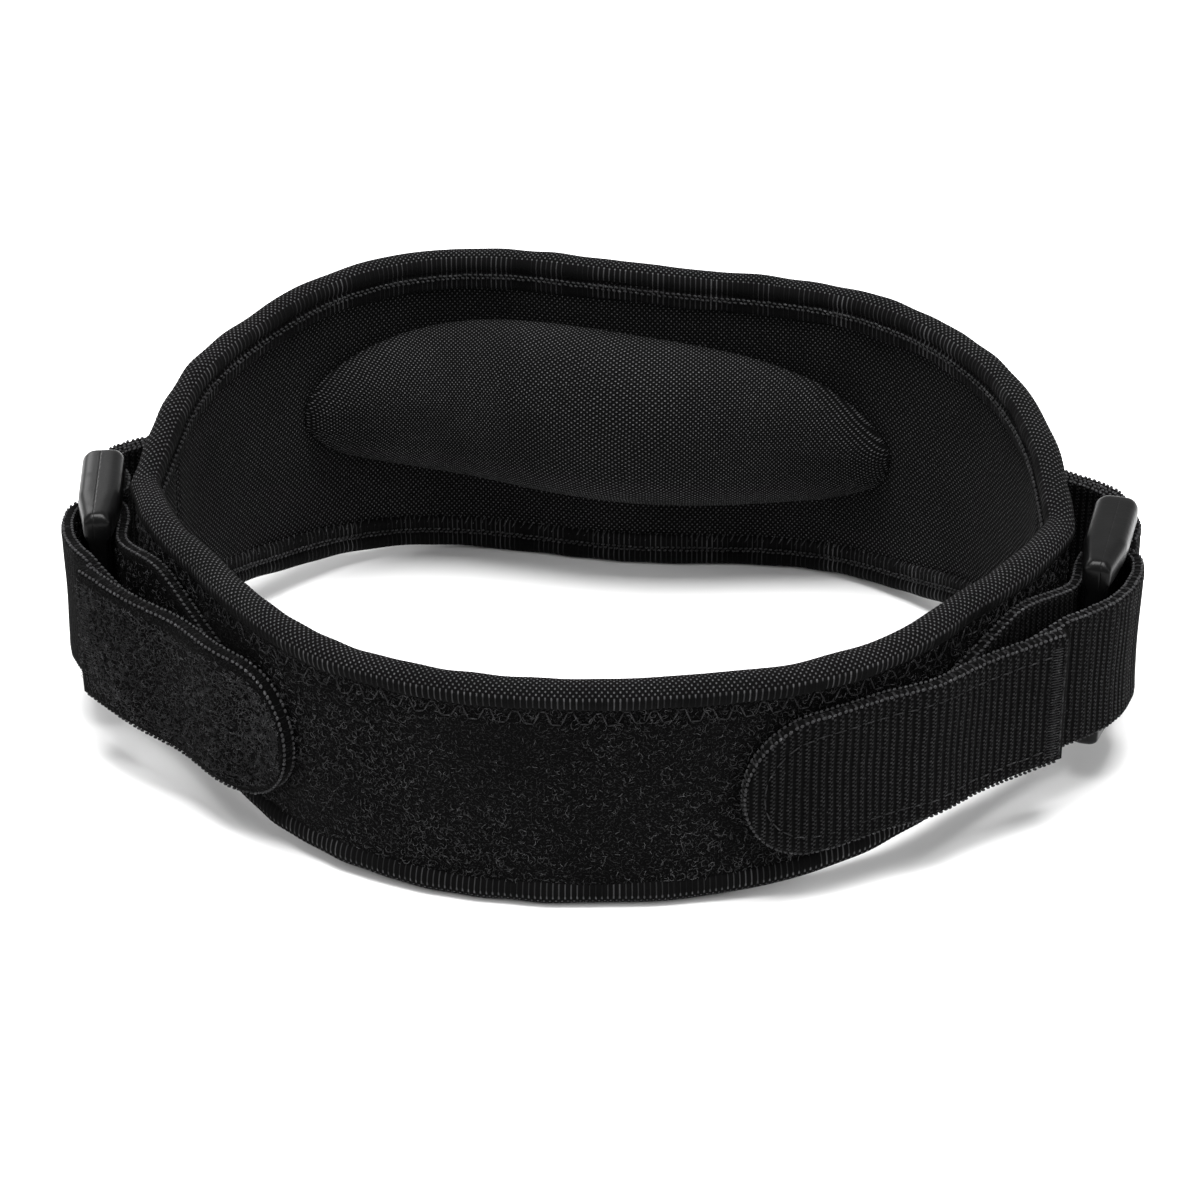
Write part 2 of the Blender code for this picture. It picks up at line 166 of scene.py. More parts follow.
def remap(value, fromLow, fromHigh, toLow=0.0, toHigh=1.0):
    node = value.id_data.nodes.new("ShaderNodeMapRange")
    node.interpolation_type = "SMOOTHSTEP"
    for socket, number in zip(node.inputs, (value, fromLow, fromHigh, toLow, toHigh)):
        feed(socket, number)
    return node.outputs["Result"]


def split(vector):
    node = vector.id_data.nodes.new("ShaderNodeSeparateXYZ")
    feed(node.inputs[0], vector)
    return node.outputs[:2]


def drifting(place, scale):
    return reckon("SUBTRACT", noise(place, scale), 0.5)


noiseSpan = 0.3, 0.7  # most of a noise lies between these


def fading(place, look):
    # unevenness from thread to thread
    return remap(noise(place, look["fade"], 1.0), *noiseSpan, look["faint"], 1.0)


def wavePhase(length, pitch):
    return reckon("MULTIPLY", reckon("DIVIDE", length, pitch), math.tau)


def newGroup(name, sizes, outputs):
    # a group that takes a place and named sizes, and puts out masks
    group = bpy.data.node_groups.new(name, "ShaderNodeTree")
    group.interface.new_socket("Place", in_out="INPUT", socket_type="NodeSocketVector")
    for label, value in sizes.items():
        socket = group.interface.new_socket(label, in_out="INPUT", socket_type="NodeSocketFloat")
        socket.default_value = value
    for label in outputs:
        group.interface.new_socket(label, in_out="OUTPUT", socket_type="NodeSocketFloat")
    source, drain = group.nodes.new("NodeGroupInput"), group.nodes.new("NodeGroupOutput")
    return group, source.outputs, drain.inputs


knitLook = {
    "drift": 260.0,  # scale of the noise that bends the rows
    "fade": 1500.0,  # scale of the noise that fades single knots
    "faint": 0.45,
    "rise": (-0.35, 1.0),
    # span of the knots' tops that take the painted highlight
    "paintedHighlight": (0.25, 1.0),
}


def knitGroup(look):
    # staggered knots of a fine knit, each a little higher or lower than the next
    sizes = {"Along": 0.76 * mm, "Across": 0.84 * mm, "Wander": 0.12 * mm}
    tree, source, drain = newGroup("knitKnots", sizes, ("Height", "GlossAndPaintedShine"))
    along, across = split(source["Place"])
    drift = drifting(source["Place"], look["drift"])
    drift = reckon("MULTIPLY", drift, source["Wander"])
    along = reckon("ADD", along, drift)
    across = reckon("SUBTRACT", across, drift)
    phases = (wavePhase(along, source["Along"]), wavePhase(across, source["Across"]))
    knots = reckon("MULTIPLY", *(reckon("COSINE", phase) for phase in phases))
    uneven = fading(source["Place"], look)
    # the shine mask marks the knots' tops: painted highlight in the base colour, and gloss
    for output, span in (("Height", look["rise"]), ("GlossAndPaintedShine", look["paintedHighlight"])):
        feed(drain[output], reckon("MULTIPLY", remap(knots, *span), uneven))
    return tree


webLook = {
    "drift": 420.0,
    "fade": 1300.0,
    "faint": 0.35,
    "wander": (0.4 * mm, -0.3 * mm),  # along and across
    "slant": 2.2,
    "crown": (-0.8, 0.5),
    "floats": (-0.4, 1.0),
    "floatRise": 0.6,
}


def webGroup(look):
    # cross ribs of webbing, with short floats that step from rib to rib; their crowns get a painted
    # highlight
    sizes = {"Rib": 1.1 * mm, "Float": 0.58 * mm}
    tree, source, drain = newGroup("webbingRibs", sizes, ("Height", "GlossAndPaintedShine"))
    drift = drifting(source["Place"], look["drift"])
    along, across = (
        reckon("MULTIPLY_ADD", drift, wander, axis)
        for wander, axis in zip(look["wander"], split(source["Place"]))
    )
    ribs = reckon("DIVIDE", along, source["Rib"])
    rib = reckon("COSINE", reckon("MULTIPLY", ribs, math.tau))
    half = reckon("FLOOR", reckon("MULTIPLY", ribs, 2.0))
    step = reckon("MULTIPLY", reckon("MODULO", half, 2.0), math.pi)
    slant = reckon("MULTIPLY", ribs, look["slant"])
    phase = reckon("ADD", wavePhase(across, source["Float"]), step)
    dash = reckon("SINE", reckon("ADD", phase, slant))
    crown = remap(rib, *look["crown"])
    uneven = fading(source["Place"], look)
    floats = reckon("MULTIPLY", remap(dash, *look["floats"]), uneven)
    rise = reckon("MULTIPLY_ADD", floats, look["floatRise"], 1 - look["floatRise"])
    feed(drain["Height"], reckon("MULTIPLY", crown, rise))
    feed(drain["GlossAndPaintedShine"], reckon("MULTIPLY", crown, floats))
    return tree


# strands have a scale and a width
fibreLook = {"strands": ((1.0, 0.030), (1.7, 0.045)), "gate": (0.42, 0.6), "ground": 0.8, "rise": 0.6}


def fibreGroup(look):
    # short curled strands, lifted and painted lighter as fibre highlights: thin contour lines of two
    # noises, broken up by a third
    sizes = {"Curl": 900.0, "Breaks": 700.0}
    tree, source, drain = newGroup("curledFibres", sizes, ("Height", "GlossAndPaintedShine"))
    place, curl = source["Place"], source["Curl"]
    strands = []
    for scale, width in look["strands"]:
        field = noise(place, reckon("MULTIPLY", curl, scale), 0.5)
        off = reckon("ABSOLUTE", reckon("SUBTRACT", field, 0.5))
        strands.append(remap(off, 0.0, width, 1.0, 0.0))
    gate = remap(noise(place, source["Breaks"], 1.0), *look["gate"])
    shown = reckon("MULTIPLY", reckon("MAXIMUM", *strands), gate)
    ground = noise(place, reckon("MULTIPLY", curl, look["ground"]), 2.0)
    feed(drain["Height"], reckon("MULTIPLY_ADD", shown, look["rise"], ground))
    feed(drain["GlossAndPaintedShine"], shown)
    return tree


lintLook = {"dye": (*noiseSpan, 0.8, 1.15), "specks": 2600.0, "lint": (0.80, 0.84)}


def lintGroup(look):
    # slow unevenness of the dye, and a few pale specks of lint
    tree, source, drain = newGroup("dyeAndLint", {"Patch": 60.0}, ("Dye", "Lint"))
    cloud = noise(source["Place"], source["Patch"], 3.0)
    specks = noise(source["Place"], look["specks"], 0.0)
    feed(drain["Dye"], remap(cloud, *look["dye"]))
    feed(drain["Lint"], remap(specks, *look["lint"]))
    return tree


wearLook = {"rub": 300.0, "rubbed": (0.45, 0.75)}


def wearGroup(look):
    # fine moulded grain and paler rubbed places of the plastic
    tree, source, drain = newGroup("plasticGrain", {"Grain": 2600.0}, ("Height", "Rub"))
    rub = noise(source["Place"], look["rub"], 4.0)
    feed(drain["Height"], noise(source["Place"], source["Grain"], 2.0))
    feed(drain["Rub"], remap(rub, *look["rubbed"]))
    return tree


groups = {
    "knit": knitGroup(knitLook),
    "web": webGroup(webLook),
    "fibre": fibreGroup(fibreLook),
    "lint": lintGroup(lintLook),
    "grain": wearGroup(wearLook),
}


def useGroup(name, place, **sizes):
    node = place.id_data.nodes.new("ShaderNodeGroup")
    node.node_tree = groups[name]
    for label, value in {"Place": place, **sizes}.items():
        feed(node.inputs[label], value)
    return node.outputs


def clothVector(tree):
    node = tree.nodes.new("ShaderNodeUVMap")
    node.uv_map = "cloth"
    return node.outputs[0]


def objectVector(tree):
    return tree.nodes.new("ShaderNodeTexCoord").outputs["Object"]


def blend(share, low, high):
    node = share.id_data.nodes.new("ShaderNodeMix")
    node.data_type = "RGBA"
    for label, value in (("Factor", share), ("A", low), ("B", high)):
        feed(node.inputs[label], value)
    return node.outputs["Result"]


def addRelief(shader, height, distance, strength):
    node = shader.id_data.nodes.new("ShaderNodeBump")
    node.inputs["Strength"].default_value = strength
    node.inputs["Distance"].default_value = distance
    feed(node.inputs["Height"], height)
    feed(shader.inputs["Normal"], node.outputs[0])


def grey(value):
    return (value, value, value * dyeLook["blue"], 1)


dyeLook = {
    "blue": 1.03,  # blue over red and green in every black and grey
    "lint": (0.16, 0.16, 0.165, 1),
    "dull": 0.95,  # roughness between the threads' tips
    "fixed": {"Specular IOR Level": 0.03, "Sheen Weight": 0.01, "Sheen Roughness": 0.5},
}


def clothMaterial(name, weave, deep, paintedHighlight, gloss, relief, lint, vector=clothVector, **sizes):
    # the weave lifts the threads and lightens their tips with a painted highlight, and dye and lint break
    # it up
    material, tree, shader = newMaterial(name)
    place = vector(tree)
    threads = useGroup(weave, place, **sizes)
    patches = useGroup("lint", place)
    dyed = tree.nodes.new("ShaderNodeVectorMath")
    dyed.operation = "SCALE"
    # painted highlight: the threads' tips take the lighter grey over the cloth's dark hollows
    feed(dyed.inputs[0], blend(threads["GlossAndPaintedShine"], grey(deep), grey(paintedHighlight)))
    feed(dyed.inputs["Scale"], patches["Dye"])
    specks = reckon("MULTIPLY", patches["Lint"], lint)
    feed(shader.inputs["Base Color"], blend(specks, dyed.outputs[0], dyeLook["lint"]))
    rough = remap(threads["GlossAndPaintedShine"], 0.0, 1.0, dyeLook["dull"], gloss)
    feed(shader.inputs["Roughness"], rough)
    for label, value in dyeLook["fixed"].items():
        shader.inputs[label].default_value = value
    addRelief(shader, threads["Height"], relief, 1.0)
    return material


def plasticMaterial(name, body, rubbed, gloss, mirror, relief):
    material, tree, shader = newMaterial(name)
    finish = useGroup("grain", objectVector(tree))
    feed(shader.inputs["Base Color"], blend(finish["Rub"], grey(body), grey(rubbed)))
    feed(shader.inputs["Roughness"], remap(finish["Rub"], 0.0, 1.0, *gloss))
    shader.inputs["Specular IOR Level"].default_value = mirror
    addRelief(shader, finish["Height"], relief, 0.5)
    return material


knitSizes = {"Along": 0.76 * mm, "Across": 0.84 * mm}
padSizes = {"Along": 0.77 * mm, "Across": 0.68 * mm}

# greys of the hollows and of the threads' tips (a painted highlight), the tips' roughness, depth of relief,
# share of lint
materials = {
    "knit": clothMaterial(
        "blackKnit", "knit", 0.0022, 0.060, 0.55, 0.30 * mm, 0.15, Wander=0.4 * mm, **knitSizes
    ),
    # the pad's thread tips take a brighter painted highlight than the panel's
    "padKnit": clothMaterial(
        "padKnit", "knit", 0.0026, 0.105, 0.5, 0.34 * mm, 0.15, Wander=0.5 * mm, **padSizes
    ),
    "binding": clothMaterial(
        "bindingKnit", "knit", 0.0025, 0.085, 0.5, 0.26 * mm, 0.15, Wander=0.2 * mm, **knitSizes
    ),
    "pile": clothMaterial(
        "loopPile", "fibre", 0.0016, 0.022, 0.7, 0.35 * mm, 0.1, Curl=1100.0, Breaks=2600.0
    ),
    "brushed": clothMaterial(
        "brushedStrap", "fibre", 0.0014, 0.012, 0.7, 0.22 * mm, 0.15, Curl=1500.0, Breaks=2600.0
    ),
    "webbing": clothMaterial(
        "ribbedWebbing", "web", 0.0014, 0.024, 0.5, 0.30 * mm, 0.15, Rib=1.1 * mm, Float=0.58 * mm
    ),
    # the pile loops' greys are lighter than the cloth's: painted highlight on the loops
    "pileThread": clothMaterial(
        "pileThread", "fibre", 0.026, 0.12, 0.4, 0.03 * mm, 0.0, objectVector, Curl=3000.0, Breaks=900.0
    ),
    "thread": clothMaterial(
        "sewingThread", "fibre", 0.018, 0.075, 0.4, 0.03 * mm, 0.0, objectVector, Curl=3000.0, Breaks=1500.0
    ),
    # the selvedge knots' greys are lighter than the webbing's: painted highlight on the knots
    "knot": clothMaterial(
        "selvedgeKnot", "fibre", 0.03, 0.12, 0.45, 0.08 * mm, 0.0, objectVector, Curl=1800.0, Breaks=1200.0
    ),
    "plastic": plasticMaterial(
        "ringPlastic", body=0.002, rubbed=0.004, gloss=(0.28, 0.40), mirror=0.12, relief=0.02 * mm
    ),
}
print("materials made")


# Lines read from the frame: the middle of each wall or strap, seen from above

readLook = {
    "onPlane": 1e-7,  # metres
    "straight": 0.3,  # degrees; points that bend the outline less are left out
    "pitch": 0.25 * mm,
    "otherPitch": 0.05 * mm,
    "rayStarts": {"below": (-0.1, 1), "above": (0.2, -1)},  # level and way
}


def walkOutline(node, height):
    # ordered outline where a level plane cuts a node
    shape = bmesh.new()
    shape.from_mesh(node.data)
    bmesh.ops.remove_doubles(shape, verts=shape.verts, dist=weld)
    cut = bmesh.ops.bisect_plane(
        shape,
        geom=[*shape.verts, *shape.edges, *shape.faces],
        dist=readLook["onPlane"],
        plane_co=(0, 0, height),
        plane_no=(0, 0, 1),
    )
    shape.verts.index_update()
    links = {}
    for edge in cut["geom_cut"]:
        if isinstance(edge, bmesh.types.BMEdge):
            one, two = (vert.index for vert in edge.verts)
            links.setdefault(one, []).append(two)
            links.setdefault(two, []).append(one)
    walk, before = [min(links)], None
    while len(walk) <= len(links):
        onward = [index for index in sorted(links[walk[-1]]) if index != before]
        before = walk[-1]
        if onward[0] == walk[0]:
            break
        walk.append(onward[0])
    shape.verts.ensure_lookup_table()
    outline = np.array([shape.verts[index].co[:2] for index in walk])
    shape.free()
    return outline


def turns(outline):
    before = outline - np.roll(outline, 1, axis=0)
    after = np.roll(outline, -1, axis=0) - outline
    cross = before[:, 0] * after[:, 1] - before[:, 1] * after[:, 0]
    return np.arctan2(cross, (before * after).sum(axis=1))


def lengths(points):
    steps = np.linalg.norm(np.diff(points, axis=0), axis=1)
    return np.concatenate(((0.0,), np.cumsum(steps)))


def evenly(points, pitch):
    along = lengths(points)
    wanted = np.linspace(0, along[-1], max(2, int(along[-1] / pitch) + 1))
    return np.stack([np.interp(wanted, along, column) for column in points.T], axis=1)


def middleLine(node, height):
    # halfway between the two long sides of an outline, from one short end to the other
    outline = walkOutline(node, height)
    outline = outline[np.abs(turns(outline)) > math.radians(readLook["straight"])]
    bend = turns(outline)
    ends = np.abs(bend + np.roll(bend, -1))
    first = int(np.argmax(ends))
    ends[[first - 1, first, (first + 1) % len(ends)]] = 0
    second = int(np.argmax(ends))
    first, second = sorted((first, second))
    sides = [outline[first + 1 : second + 1], np.roll(outline, -second - 1, axis=0)]
    sides[1] = sides[1][: len(outline) - second + first][::-1]
    sides.sort(key=lambda side: -lengths(side)[-1])
    longer = evenly(sides[0], readLook["pitch"])
    other = evenly(sides[1], readLook["otherPitch"])
    nearest = [other[np.argmin(((other - point) ** 2).sum(axis=1))] for point in longer]
    return (longer + np.array(nearest)) / 2


def smoothed(values, passes):
    values = values.copy()
    for _ in range(passes):
        values[1:-1] = (values[:-2] + 2 * values[1:-1] + values[2:]) / 4
    return values


def filled(values):
    # gaps where a ray missed take the values beside them
    known = ~np.isnan(values)
    places = np.arange(len(values))
    return np.interp(places, places[known], values[known])


def heights(nodes, points, side):
    # the lowest or highest level of some nodes over each point
    trees = [
        BVHTree.FromPolygons([v.co for v in n.data.vertices], [p.vertices for p in n.data.polygons])
        for n in nodes
    ]
    start, way = readLook["rayStarts"][side]
    found = []
    for x, y in points:
        hits = [tree.ray_cast(Vector((x, y, start)), Vector((0, 0, way)))[0] for tree in trees]
        levels = [hit.z * way for hit in hits if hit is not None]
        found.append(min(levels) * way if levels else np.nan)
    return filled(np.array(found))


def unit(vectors):
    return vectors / np.linalg.norm(vectors, axis=-1, keepdims=True)


def leftOf(tangent):
    tangent = unit(tangent)
    return np.stack((-tangent[:, 1], tangent[:, 0]), axis=1)


def at(line, along, *keys):
    return [np.interp(along, line["along"], line[key]) for key in keys]


def onLine(line, along, z, out):
    # points at distances along a line, at heights, and out from its middle
    columns = [*line["xy"].T, *line["normal"].T]
    x, y, right, up = (np.interp(along, line["along"], column) for column in columns)
    x, y, z = np.broadcast_arrays(x + out * right, y + out * up, z)
    return np.stack((x, y, z), axis=-1)


wallLook = {
    "sliceZ": 22 * mm,
    "smoothing": 70,
    "spacing": 0.5 * mm,
    "cornerSmoothing": 6,
}


def wallLine(look):
    # the whole wall as one closed line, clockwise from its left corner
    back, front = (middleLine(nodes[name + "_panel"], look["sliceZ"]) for name in ("back", "front"))
    if back[-1, 0] < back[0, 0]:
        back = back[::-1]
    if front[-1, 0] > front[0, 0]:
        front = front[::-1]
    back[0] = front[-1] = (back[0] + front[-1]) / 2
    back[-1] = front[0] = (back[-1] + front[0]) / 2
    tapes = (nodes["top_binding"], nodes["bottom_binding"])
    halves = []
    spacing, passes = look["spacing"], look["smoothing"]
    for points in (back, front):
        points = evenly(smoothed(evenly(points, spacing), passes), spacing)
        low, high = (smoothed(heights(tapes, points, side), passes) for side in ("below", "above"))
        halves.append(np.column_stack((points, np.maximum(low, 0), high)))
    rows = np.vstack((halves[0][:-1], halves[1][:-1]))
    for _ in range(look["cornerSmoothing"]):
        rows = (np.roll(rows, 1, axis=0) + 2 * rows + np.roll(rows, -1, axis=0)) / 4
    tangent = np.roll(rows, -1, axis=0)[:, :2] - np.roll(rows, 1, axis=0)[:, :2]
    rows = np.column_stack((rows, leftOf(tangent)))
    rows = np.vstack((rows, rows[:1]))
    line = {"xy": rows[:, :2], "low": rows[:, 2], "high": rows[:, 3], "normal": rows[:, 4:]}
    line["along"] = lengths(line["xy"])
    line["rightCorner"] = line["along"][len(halves[0]) - 1]
    line["length"] = line["along"][-1]
    for edge in ("low", "high"):
        line[edge + "Stretch"] = np.hypot(1, np.gradient(line[edge], line["along"]))
    return line


wall = wallLine(wallLook)
print("wall is", round(wall["length"] / mm, 1), "mm round")


def onWall(along, down, out, edge="high"):
    # points at depths from the wall's upper or lower edge
    level, stretch = at(wall, along, edge, edge + "Stretch")
    inwards = -1 if edge == "high" else 1
    return onLine(wall, along, level + inwards * down * stretch, out)


# Ways of making cloth

rippleSpread = 0.6, 1.6  # shortest and longest ripple, as shares of a reach


def ripples(points, look, count=8):
    # gentle unevenness that depends only on the place
    rolls = np.random.default_rng(look["seed"])
    total = np.zeros(points.shape[:-1])
    for _ in range(count):
        way = rolls.normal(size=3)
        way *= math.tau / (look["waveReach"] * rolls.uniform(*rippleSpread) * np.linalg.norm(way))
        total += np.sin(points @ way + rolls.uniform(0, math.tau))
    return look["wave"] * (total / math.sqrt(count))


def closedCurve(knots, steps):
    # a smooth closed curve through knots, with a few even steps from each to the next
    knots = np.asarray(knots, float)
    before, after, beyond = (np.roll(knots, shift, axis=0)[:, None] for shift in (1, -1, -2))
    knots = knots[:, None]
    share = np.linspace(0, 1, steps, endpoint=False)[None, :, None]
    bend = (2 * before - 5 * knots + 4 * after - beyond) * share**2
    twist = (3 * knots - before - 3 * after + beyond) * share**3
    curve = (knots + ((after - before) * share + bend + twist) / 2).reshape(-1, 2)
    return np.vstack((curve, curve[:1]))


def clothMesh(name, points, along, up, lining=None):
    # a grid bent into a closed body; along and up place the weave on it, and lining is the span
    # of rows with a second material
    cloth = np.stack(np.broadcast_arrays(along, up), axis=-1)
    columns, rows = points.shape[0] - 1, points.shape[1] - 1
    shape = bmesh.new()
    bmesh.ops.create_grid(shape, x_segments=columns, y_segments=rows, size=0.5)
    mesh = bpy.data.meshes.new(name)
    shape.to_mesh(mesh)
    flat = np.empty(len(mesh.vertices) * 3, np.float32)
    mesh.vertices.foreach_get("co", flat)
    flat = flat.reshape(-1, 3)
    column = np.rint((flat[:, 0] + 0.5) * columns).astype(int)
    row = np.rint((flat[:, 1] + 0.5) * rows).astype(int)
    mesh.vertices.foreach_set("co", points[column, row].astype(np.float32).ravel())
    corners = np.empty(len(mesh.loops), np.int32)
    mesh.loops.foreach_get("vertex_index", corners)
    layer = mesh.uv_layers.new(name="cloth")
    layer.data.foreach_set("uv", cloth[column, row][corners].astype(np.float32).ravel())
    if lining:
        faceRow = row[corners].reshape(-1, 4).min(axis=1)
        lined = (faceRow >= lining[0]) & (faceRow < lining[1])
        mesh.polygons.foreach_set("material_index", lined.astype(np.int32))
    shape.clear()
    shape.from_mesh(mesh)
    bmesh.ops.remove_doubles(shape, verts=shape.verts, dist=weld)
    openEdges = [edge for edge in shape.edges if edge.is_boundary]
    if openEdges:
        bmesh.ops.holes_fill(shape, edges=openEdges, sides=0)
    bmesh.ops.recalc_face_normals(shape, faces=shape.faces)
    for face in shape.faces:
        face.smooth = True
    shape.to_mesh(mesh)
    shape.free()
    return mesh


def addPiece(name, mesh, finishes, slot, *replaced):
    piece = addObject(name, mesh)
    for finish in finishes:
        mesh.materials.append(materials[finish])
    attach(piece, "root")
    if replaced:
        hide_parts(*replaced)
    return piece


def evened(values, passes):
    # smoothed, with ends that are free to move
    for _ in range(passes):
        padded = np.pad(values, 1, "edge")
        values = (padded[:-2] + 2 * padded[1:-1] + padded[2:]) / 4
    return values


def bump(distance, middle, width):
    return np.exp(-(((distance - middle) / width) ** 2))


# Panels

panelLook = {
    "half": 1.4 * mm,
    "underTape": 1.2 * mm,  # the panel's edge below the crest of its binding
    "columnWidth": 0.6 * mm,
    "faceRows": 44,
    "pinchDown": 4.5 * mm,  # where the zigzag draws the outer face in
    "pinchWidth": 1.1 * mm,
    "pinch": 0.3 * mm,
    "wave": 0.16 * mm,
    "waveReach": 26 * mm,
    "seed": 3,
    "seamFromCorner": 9.0 * mm,  # inner seam behind each side corner
    "seamWidth": 0.55 * mm,
    "seamDepth": 0.45 * mm,
}
seams = (panelLook["seamFromCorner"], wall["rightCorner"] - panelLook["seamFromCorner"])


def panelCloth(name, node, start, end, look, outerFinish, slot):
    along = np.linspace(start, end, int((end - start) / look["columnWidth"]) + 1)[:, None]
    share = np.linspace(0, 1, look["faceRows"] + 1)[None, :]
    low, high = at(wall, along, "low", "high")
    z = low + look["underTape"] + share * (high - low - 2 * look["underTape"])
    wave = ripples(onLine(wall, along, z, 0), look)
    outer = look["half"] + wave - look["pinch"] * bump(high - z, look["pinchDown"], look["pinchWidth"])
    inner = -look["half"] + wave
    for seam in seams:
        inner = inner + look["seamDepth"] * bump(along, seam, look["seamWidth"])
    front, back = onLine(wall, along, z, outer), onLine(wall, along, z, inner)[:, ::-1]
    points = np.concatenate((front, back, front[:, :1]), axis=1)
    up = np.concatenate((z, z[:, ::-1], z[:, :1]), axis=1)
    faceRows = look["faceRows"]
    mesh = clothMesh(name, points, along, up, lining=(faceRows + 1, 2 * faceRows + 1))
    piece = addPiece(name, mesh, (outerFinish, "knit"), slot, node)


corner, end = wall["rightCorner"], wall["length"]
panelCloth("backPanelCloth", "back_panel", 0, corner, panelLook, "knit", "knit")
panelCloth("frontPanelCloth", "front_panel", corner, end, panelLook, "pile", "loop_pile")
print("panels made")


# Edge bindings

bindingLook = {
    # distance out from the wall's middle and down from the crest, in mm
    "outline": (
        (0.0, 3.2), (1.2, 3.5), (1.62, 3.3), (1.92, 2.7), (2.05, 1.9), (1.85, 1.05), (1.3, 0.4),
        (0.55, 0.06), (-0.4, 0.03), (-1.2, 0.35), (-1.8, 0.95), (-2.0, 1.7), (-1.85, 2.35),
        (-1.6, 2.75), (-1.75, 3.05), (-1.98, 3.45), (-2.0, 4.2), (-1.95, 4.9), (-1.72, 5.3),
        (-1.3, 5.3), (-0.7, 4.5),
    ),
    "curveSteps": 2,
    "ribPitch": 0.76 * mm,
    "ribDepth": 0.09 * mm,
    "columnsPerRib": 4,
    "crestShift": 0.5 * mm,
    "dotReach": 2.24 * mm,  # past this the dots of the knit run together into ribs
    "core": (0, 1.9),  # what the ribs swell out from, in mm
    "plainCrest": 1.3 * mm,
    "wave": 0.10 * mm,
    "waveReach": 9 * mm,
    "seed": 5,
}


def bindingTape(name, edge, replaced, look):
    ribs = round(wall["length"] / look["ribPitch"])
    columns = ribs * look["columnsPerRib"]
    along = np.linspace(0, wall["length"], columns + 1)[:, None]
    outline = closedCurve(look["outline"], look["curveSteps"]) * mm
    out, down = outline.T[:, None, :]
    across = lengths(outline)
    crest = across[np.argmin(outline[:, 1])] - look["crestShift"]
    across = np.clip(across - crest, -look["dotReach"], look["dotReach"])[None, :]
    way = unit(outline - np.array(look["core"]) * mm)
    ribbed = 1 - bump(down, 0, look["plainCrest"])
    lift = look["ribDepth"] * ribbed * np.cos(math.tau * along * ribs / wall["length"])
    lift = lift + ripples(onWall(along, down, out, edge), look)
    points = onWall(along, down + lift * way[:, 1], out + lift * way[:, 0], edge)
    points[-1] = points[0]
    addPiece(name, clothMesh(name, points, along, across), ("binding",), "binding", replaced)


bindingTape("topBindingTape", "high", "top_binding", bindingLook)
bindingTape("bottomBindingTape", "low", "bottom_binding", bindingLook)
print("bindings made")


# Pressure pad

padLook = {
    "crown": 1.3,  # the stuffed pad's height over its solid's
    "seat": 0.3 * mm,  # the sewn rim's gap to the panel
    "columns": 200,
    "frontRows": 44,
    "backRows": 6,
    "ways": 360,  # directions in which the outline's reach is measured
    "sideways": 0.1,  # ways that face a column less than this don't count
    "dome": (2.5, 0.58),  # how flat its top is, and how steep its rim
    "wave": 0.12 * mm,
    "waveReach": 20 * mm,
    "seed": 7,
}


def padCloth(look):
    # the solid's convex outline on the wall, as a reach at every angle round its middle
    solid = nodes["pressure_pad"].data
    spots = np.array([vert.co for vert in solid.vertices])
    nearest = np.array([((wall["xy"] - spot[:2]) ** 2).sum(axis=1).argmin() for spot in spots])
    away = ((spots[:, :2] - wall["xy"][nearest]) * wall["normal"][nearest]).sum(axis=1)
    crown = look["crown"] * (-away - panelLook["half"]).max() - look["seat"]
    flat = np.column_stack((wall["along"][nearest], spots[:, 2]))
    centre = (flat.max(axis=0) + flat.min(axis=0)) / 2
    reach = (flat.max(axis=0) - flat.min(axis=0)) / 2
    parts = (flat - centre) / reach
    ways = np.linspace(-math.pi, math.pi, look["ways"], endpoint=False)
    furthest = (parts @ np.stack((np.cos(ways), np.sin(ways)))).max(axis=0)
    turn = np.linspace(-math.pi, math.pi, look["columns"] + 1)[:, None]
    facing = np.cos(turn - ways)
    rim = furthest / np.maximum(facing, look["sideways"])
    rim = np.where(facing > look["sideways"], rim, np.inf).min(axis=1)[:, None]
    front = np.sin(np.linspace(0, math.pi / 2, look["frontRows"]))
    share = np.concatenate((front, np.linspace(1, 0, look["backRows"])[1:]))[None, :]
    flatness, steepness = look["dome"]
    rise = crown * (1 - front**flatness) ** steepness
    rise = np.concatenate((rise, np.zeros(look["backRows"] - 1)))[None, :]
    along = centre[0] + reach[0] * rim * share * np.cos(turn)
    z = centre[1] + reach[1] * rim * share * np.sin(turn)
    out = -panelLook["half"] - look["seat"] - rise
    wave = ripples(onLine(wall, along, z, out), look)
    points = onLine(wall, along, z, out - wave * rise / crown)
    points[-1] = points[0]
    slope = lengths(np.column_stack((reach[1] * front, rise[0, : len(front)])))
    up = centre[1] + rim * np.sin(turn) * np.interp(share, front, slope)
    mesh = clothMesh("padCover", points, along, up)
    pad = addPiece("padCover", mesh, ("padKnit",), "knit", "pressure_pad")


padCloth(padLook)
print("pad made")


# Plastic rings

ringLook = {
    "voxel": 0.22 * mm,
    "rounding": 44,  # smoothing passes over the remeshed ring
    "lineWidth": 0.05 * mm,
    "lineDepth": 0.05 * mm,
}


